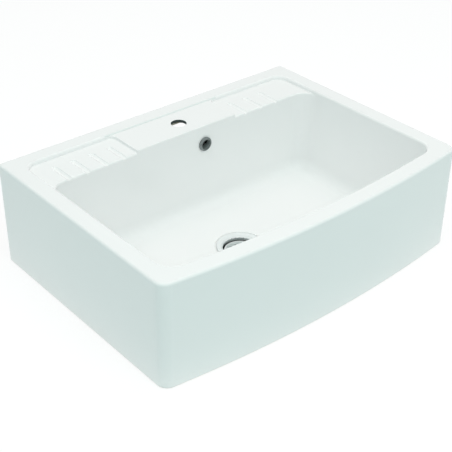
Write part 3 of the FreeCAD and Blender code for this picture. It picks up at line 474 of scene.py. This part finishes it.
def glow_shader(tree, colour, strength, kind="ShaderNodeEmission"):
    node = tree.nodes.new(kind)
    feed(tree, colour, node.inputs["Color"])
    feed(tree, strength, node.inputs["Strength"])
    return node.outputs[0]


def add_shaders(tree, first, second):
    node = tree.nodes.new("ShaderNodeAddShader")
    tree.links.new(first, node.inputs[0])
    tree.links.new(second, node.inputs[1])
    return node.outputs[0]


def mix_shaders(tree, share, first, second):
    node = tree.nodes.new("ShaderNodeMixShader")
    tree.links.new(share, node.inputs["Fac"])
    tree.links.new(first, node.inputs[1])
    tree.links.new(second, node.inputs[2])
    return node.outputs[0]


def light_and_sight(tree, light, sight):
    """One shader for the light that falls on dull things, another for the camera and for mirrors."""
    ray = tree.nodes.new("ShaderNodeLightPath")
    looked_at = calculate(tree, "MAXIMUM", ray.outputs["Is Camera Ray"], ray.outputs["Is Glossy Ray"])
    return mix_shaders(tree, looked_at, light, sight)


def gap_to_foot(tree):
    """How far a point of the floor lies outside the foot of the sink."""
    place = tree.nodes.new("ShaderNodeTexCoord").outputs["Object"]
    place = vector_step(tree, "ABSOLUTE", vector_step(tree, "SUBTRACT", place, FOOT_MIDDLE))
    place = vector_step(tree, "MAXIMUM", vector_step(tree, "SUBTRACT", place, FOOT_HALF))
    return vector_step(tree, "LENGTH", place)


deselect_all()
bpy.ops.mesh.primitive_plane_add(size=FLOOR_SIZE, location=(0, 0, FLOOR_LEVEL))
floor = bpy.context.object
floor.name = "studio_floor"
bpy.ops.object.mode_set(mode="EDIT")
bpy.ops.mesh.inset(thickness=(FLOOR_SIZE - OPENING_SIZE) / 2)
bpy.ops.mesh.delete(type="FACE")
bpy.ops.mesh.primitive_plane_add(size=PIT_SIZE, location=(0, 0, PIT_LEVEL))
bpy.ops.object.mode_set(mode="OBJECT")
floor_paint = bpy.data.materials.new("studio_floor")
floor_paint.use_nodes = True
tree = floor_paint.node_tree
tree.nodes.clear()
near = within(tree, gap_to_foot(tree), GLOW_START, GLOW_START, soft=GLOW_START, fade=GLOW_REACH)
bounce = add_shaders(tree, matt_shader(tree, BOUNCE_COLOUR), glow_shader(tree, GLOW_COLOUR, near))
paper = add_shaders(tree, matt_shader(tree, SHADOW_GREY), glow_shader(tree, WHITE, FLOOR_BRIGHTNESS))
from_above = light_and_sight(tree, bounce, paper)
from_below = tree.nodes.new("ShaderNodeBsdfTransparent").outputs[0]
is_below = tree.nodes.new("ShaderNodeNewGeometry").outputs["Backfacing"]
output = tree.nodes.new("ShaderNodeOutputMaterial")
tree.links.new(mix_shaders(tree, is_below, from_above, from_below), output.inputs["Surface"])
floor.data.materials.append(floor_paint)

# World: a cool fill from all round that lights the sink.
# Where the camera or a mirror looks past the floor, it is as white as the floor is far off.
FILL_COLOUR = (0.872, 1.0, 0.988)
FILL_STRENGTH = 0.541
HORIZON_WHITE = (0.905, 0.925, 0.92)
world = bpy.data.worlds.new("studio")
bpy.context.scene.world = world
world.use_nodes = True
tree = world.node_tree
tree.nodes.clear()
fill = glow_shader(tree, FILL_COLOUR, FILL_STRENGTH, kind="ShaderNodeBackground")
horizon = glow_shader(tree, HORIZON_WHITE, 1, kind="ShaderNodeBackground")
output = tree.nodes.new("ShaderNodeOutputWorld")
tree.links.new(light_and_sight(tree, fill, horizon), output.inputs["Surface"])

# Lamps: a wide soft box overhead, one high in front and a weaker one high on the left.
# The overhead one is warm, to even out the cool fill on level faces, and none shows as a reflection.
LAMP_TARGET = Vector((0, 0, 0.1))


def soft_box(name, size, place, power, colour):
    lamp = bpy.data.lights.new(name, "AREA")
    lamp.shape = "SQUARE"
    lamp.size = size
    lamp.energy = power
    lamp.color = colour
    box = bpy.data.objects.new(name, lamp)
    bpy.context.scene.collection.objects.link(box)
    box.location = place
    aim = LAMP_TARGET - box.location
    box.rotation_euler = aim.to_track_quat("-Z", "Y").to_euler()
    box.visible_glossy = False


soft_box("overhead_box", size=2.6, place=(0.3, 0.1, 2.6), power=18, colour=(1, 0.70, 0.71))
soft_box("front_box", size=1.4, place=(0.0, -2.0, 2.8), power=22, colour=(0.84, 1, 0.95))
soft_box("left_box", size=1.4, place=(-2.0, -0.4, 2.8), power=13, colour=(0.82, 1, 0.95))

# Camera: the photograph's viewpoint, found from the sink's own edges.
# Its angles are in radians: turned to the right, tilted down, and rolled a little.
PHOTO_SIZE = 452
FOCAL_PIXELS = 1026.68
SENSOR = 36
VIEWPOINT = (-1.24656, -1.41193, 1.28907)
TURN = 0.70634
TILT = 0.57103
ROLL = 0.00982
lens = bpy.data.cameras.new("photo_camera")
lens.sensor_width = SENSOR
lens.lens = FOCAL_PIXELS / PHOTO_SIZE * SENSOR
camera = bpy.data.objects.new("photo_camera", lens)
bpy.context.scene.collection.objects.link(camera)
turn = Matrix.Rotation(-TURN, 4, "Z")
tilt = Matrix.Rotation(math.pi / 2 - TILT, 4, "X")
roll = Matrix.Rotation(ROLL, 4, "Z")
camera.matrix_world = Matrix.Translation(VIEWPOINT) @ turn @ tilt @ roll
bpy.context.scene.camera = camera
bpy.context.scene.view_settings.view_transform = "Standard"
